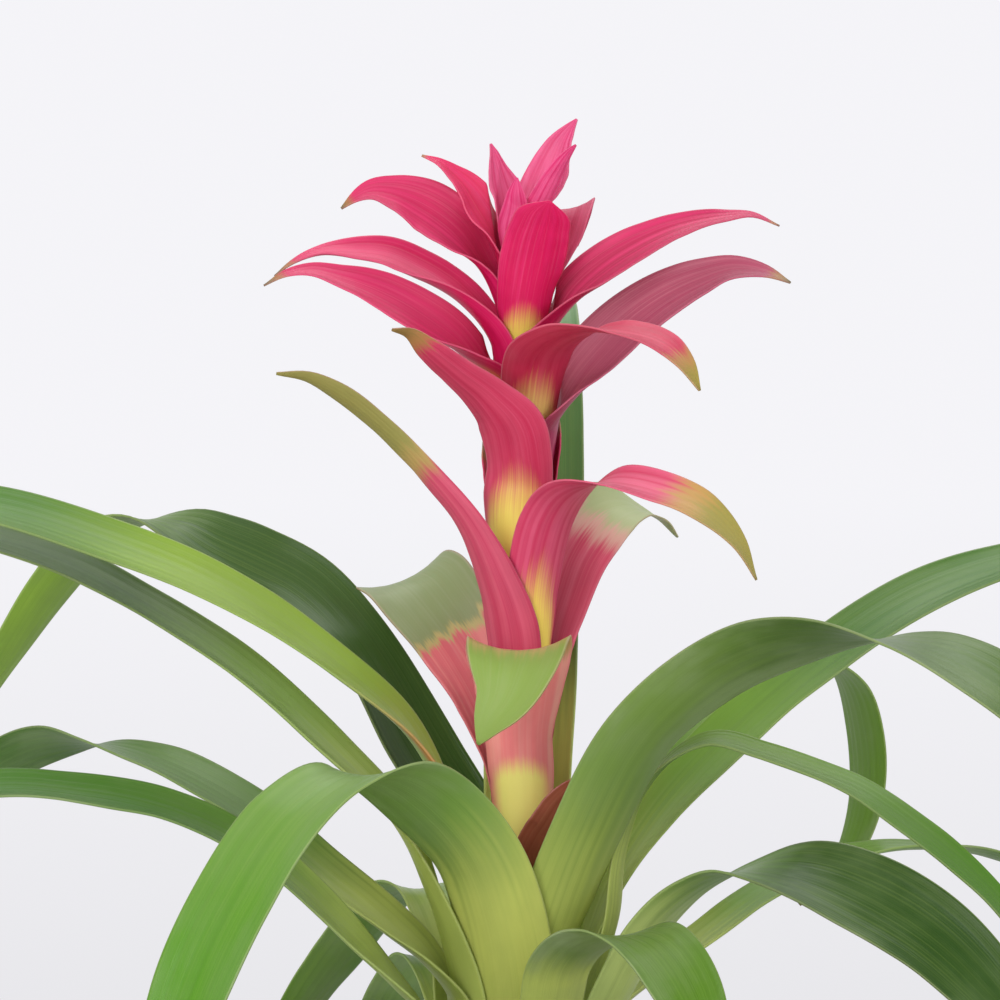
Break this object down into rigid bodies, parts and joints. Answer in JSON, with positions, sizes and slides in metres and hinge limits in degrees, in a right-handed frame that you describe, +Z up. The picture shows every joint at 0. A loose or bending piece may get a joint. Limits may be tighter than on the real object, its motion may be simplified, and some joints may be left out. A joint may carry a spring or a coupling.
{
  "type": "potted bromeliad",
  "caption": "Flowering bromeliad in a plain tapered pot: arching strap leaves in a rosette round an upright spike of clasping pink bracts.",
  "frame": {"origin": "middle of the pot's foot, on the surface it stands on", "axes": "+Z up along the pot's axis and the flower spike, +X to the right and -Y towards the viewer of the picture"},
  "size_m": [0.4807, 0.3308, 0.4212],
  "materials": {
    "pot": "matte, terracotta coloured",
    "potting_mix": "damp, crumbly",
    "stem": "satin",
    "leaf": "satin",
    "bract": "satin"
  },
  "bodies": {
    "root": {"bract_back_first": "bract", "bract_back_left": "bract", "bract_back_right": "bract", "bract_back_second": "bract", "bract_back_third": "bract", "bract_centre_high": "bract", "bract_foot_back": "bract", "bract_foot_front": "bract", "bract_foot_left": "bract", "bract_foot_right": "bract", "bract_front_centre": "bract", "bract_front_wide": "bract", "bract_left_high": "bract", "bract_left_low": "bract", "bract_left_mid": "bract", "bract_left_ribbon": "bract", "bract_left_top": "bract", "bract_right_arched": "bract", "bract_right_back": "bract", "bract_right_high": "bract", "bract_right_low": "bract", "bract_right_pale": "bract", "flower_stem": "stem", "leaf_back_left": "leaf", "leaf_back_right": "leaf", "leaf_back_upright": "leaf", "leaf_behind_spike": "leaf", "leaf_front_left": "leaf", "leaf_front_low": "leaf", "leaf_front_small": "leaf", "leaf_left_back": "leaf", "leaf_left_bottom": "leaf", "leaf_left_far": "leaf", "leaf_left_high": "leaf", "leaf_left_low": "leaf", "leaf_left_low_back": "leaf", "leaf_left_second": "leaf", "leaf_left_under": "leaf", "leaf_right_front": "leaf", "leaf_right_hanging": "leaf", "leaf_right_high": "leaf", "leaf_right_low": "leaf", "leaf_right_narrow": "leaf", "leaf_right_under": "leaf", "leaf_right_wide": "leaf", "pot": "pot", "potting_mix": "potting_mix", "tuft_front": "bract", "tuft_left": "bract", "tuft_right_short": "bract", "tuft_right_tall": "bract"}
  },
  "joints": []
}
